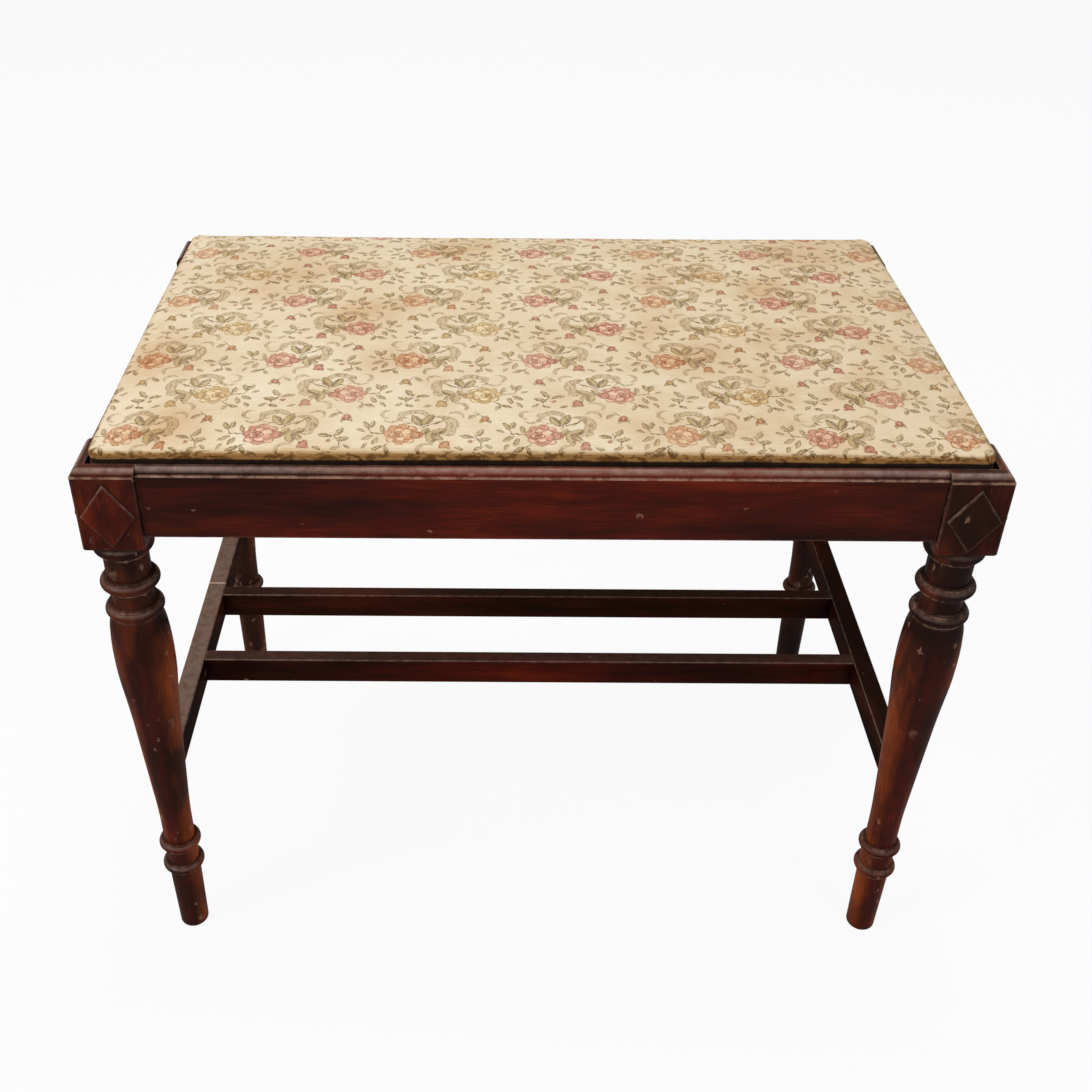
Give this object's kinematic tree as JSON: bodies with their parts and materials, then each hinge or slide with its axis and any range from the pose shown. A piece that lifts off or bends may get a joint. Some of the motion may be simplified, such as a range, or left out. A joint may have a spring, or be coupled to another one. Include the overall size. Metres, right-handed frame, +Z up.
{
  "type": "upholstered bench",
  "caption": "Dressing bench with a thin crowned drop-in seat in floral woven cover, moulded apron frame, lozenges on the corner blocks, turned baluster legs and low rectangular stretchers.",
  "frame": {"origin": "on the floor, under the middle of the bench", "axes": "+Z up, +X along the bench to the right as seen from the front, +Y to the back; the front is at -Y"},
  "size_m": [0.6404, 0.4094, 0.4951],
  "materials": {
    "stained_wood": "dark red-brown stain under worn satin varnish",
    "bare_wood": "sawn, unfinished, darkened by age",
    "seat_plywood": "bare plywood",
    "cotton_felt": "loose cotton felt",
    "woven_floral": "cream woven cloth with rose sprays, aged",
    "screw_steel": "dulled steel",
    "tack_steel": "blued steel"
  },
  "bodies": {
    "frame": {"leg_front_left": "stained_wood", "leg_front_right": "stained_wood", "leg_rear_left": "stained_wood", "leg_rear_right": "stained_wood", "lozenge_front_left_long": "stained_wood", "lozenge_front_left_end": "stained_wood", "lozenge_front_right_long": "stained_wood", "lozenge_front_right_end": "stained_wood", "lozenge_rear_left_long": "stained_wood", "lozenge_rear_left_end": "stained_wood", "lozenge_rear_right_long": "stained_wood", "lozenge_rear_right_end": "stained_wood", "apron_front": "stained_wood", "apron_rear": "stained_wood", "apron_left": "stained_wood", "apron_right": "stained_wood", "stretcher_left": "stained_wood", "stretcher_right": "stained_wood", "stretcher_front": "stained_wood", "stretcher_rear": "stained_wood", "corner_block_front_left": "bare_wood", "corner_block_front_right": "bare_wood", "corner_block_rear_left": "bare_wood", "corner_block_rear_right": "bare_wood", "apron_dowels": "bare_wood", "corner_block_screws": "screw_steel"},
    "seat": {"seat_board": "seat_plywood", "seat_padding": "cotton_felt", "seat_cover": "woven_floral", "seat_tacks": "tack_steel"}
  },
  "joints": [
    {"name": "seat_lift", "type": "slide", "parent": "frame", "child": "seat", "axis": [0, 0, 1], "range_m": [0, 0.09]}
  ]
}
